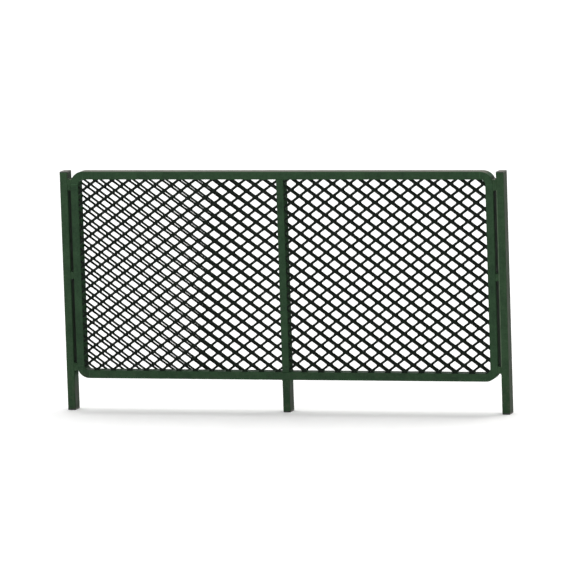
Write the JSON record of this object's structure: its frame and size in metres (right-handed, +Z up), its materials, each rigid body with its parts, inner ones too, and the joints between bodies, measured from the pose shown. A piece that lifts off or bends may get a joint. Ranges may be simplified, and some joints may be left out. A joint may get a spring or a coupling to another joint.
{
  "type": "livestock panel gate",
  "caption": "Free-standing welded steel hurdle: round-cornered tube frame with diamond mesh on both faces, a centre stile with its own leg, and an end post at each side.",
  "frame": {"origin": "on the ground, under the middle of the panel's length and depth", "axes": "+X along the panel towards the right post as seen from the front, -Y out of the front face, +Z up"},
  "size_m": [1.83, 0.06, 0.965],
  "materials": {
    "post_paint": "dark green enamel on steel tube, semi-gloss",
    "frame_paint": "dark green enamel on steel tube, semi-gloss",
    "weld_paint": "dark green enamel over weld beads",
    "mesh_paint": "thick dark green dip coat on expanded mesh, semi-gloss",
    "cap_plastic": "moulded dark grey-green plastic",
    "foot_plastic": "moulded near-black plastic"
  },
  "bodies": {
    "root": {"left_post": "post_paint", "left_post_cap": "cap_plastic", "left_foot_plug": "foot_plastic", "right_post": "post_paint", "right_post_cap": "cap_plastic", "right_foot_plug": "foot_plastic", "top_rail": "frame_paint", "bottom_rail": "frame_paint", "left_stile": "frame_paint", "top_left_elbow": "frame_paint", "bottom_left_elbow": "frame_paint", "right_stile": "frame_paint", "top_right_elbow": "frame_paint", "bottom_right_elbow": "frame_paint", "centre_stile": "frame_paint", "centre_leg": "frame_paint", "centre_foot_plug": "foot_plastic", "centre_stile_welds": "weld_paint", "left_top_lug": "post_paint", "left_middle_lug": "post_paint", "left_bottom_lug": "post_paint", "left_lug_welds": "weld_paint", "right_top_lug": "post_paint", "right_middle_lug": "post_paint", "right_bottom_lug": "post_paint", "right_lug_welds": "weld_paint", "front_left_mesh": "mesh_paint", "front_right_mesh": "mesh_paint", "back_left_mesh": "mesh_paint", "back_right_mesh": "mesh_paint"}
  },
  "joints": []
}
